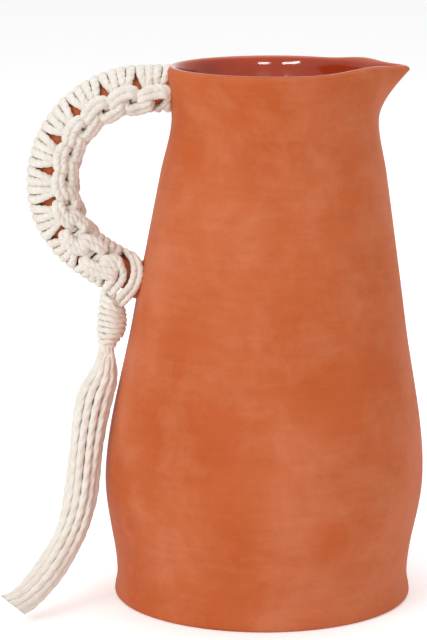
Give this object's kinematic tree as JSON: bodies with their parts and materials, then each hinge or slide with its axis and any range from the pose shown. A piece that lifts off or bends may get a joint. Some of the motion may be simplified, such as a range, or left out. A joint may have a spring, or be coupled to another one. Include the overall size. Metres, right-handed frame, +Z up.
{
  "type": "water jug",
  "caption": "Round clay water jug with a glazed inside, a poured lip and a looped handle dressed in knotted cotton cord that ends in a wrapped knot and a swinging tassel.",
  "frame": {"origin": "centre of the flat foot, on the table", "axes": "+Z up through the mouth, +X to the poured lip, handle at -X, the tassel lies out towards -X and -Y"},
  "size_m": [0.1945, 0.1492, 0.2503],
  "materials": {
    "terracotta": "matte unglazed terracotta",
    "glaze": "glossy brown-red transparent glaze over clay",
    "cotton": "soft twisted cotton cord"
  },
  "bodies": {
    "jug": {"jug_body": "terracotta", "inner_glaze": "glaze", "handle": "terracotta", "outer_cord_1": "cotton", "outer_cord_2": "cotton", "inner_cord_1": "cotton", "inner_cord_2": "cotton"},
    "knot": {"knot_core": "cotton", "wrap_cord": "cotton"},
    "tassel": {"tassel_cord_1": "cotton", "tassel_cord_2": "cotton", "tassel_cord_3": "cotton", "tassel_cord_4": "cotton", "tassel_cord_5": "cotton", "tassel_cord_6": "cotton", "tassel_cord_7": "cotton", "tassel_cord_8": "cotton", "tassel_cord_9": "cotton", "tassel_cord_10": "cotton", "tassel_cord_11": "cotton", "tassel_cord_12": "cotton", "tassel_cord_13": "cotton", "tassel_cord_14": "cotton", "tassel_cord_15": "cotton", "tassel_cord_16": "cotton"}
  },
  "joints": [
    {"name": "knot_swing", "type": "hinge", "parent": "jug", "child": "knot", "pos_m": [-0.06991, -0.008, 0.14036], "axis": [-1, 0, 0], "range_deg": [0, 25]},
    {"name": "tassel_swing", "type": "hinge", "parent": "knot", "child": "tassel", "pos_m": [-0.07289, -0.008, 0.11513], "axis": [0, 1, 0], "range_deg": [0, 40]}
  ]
}
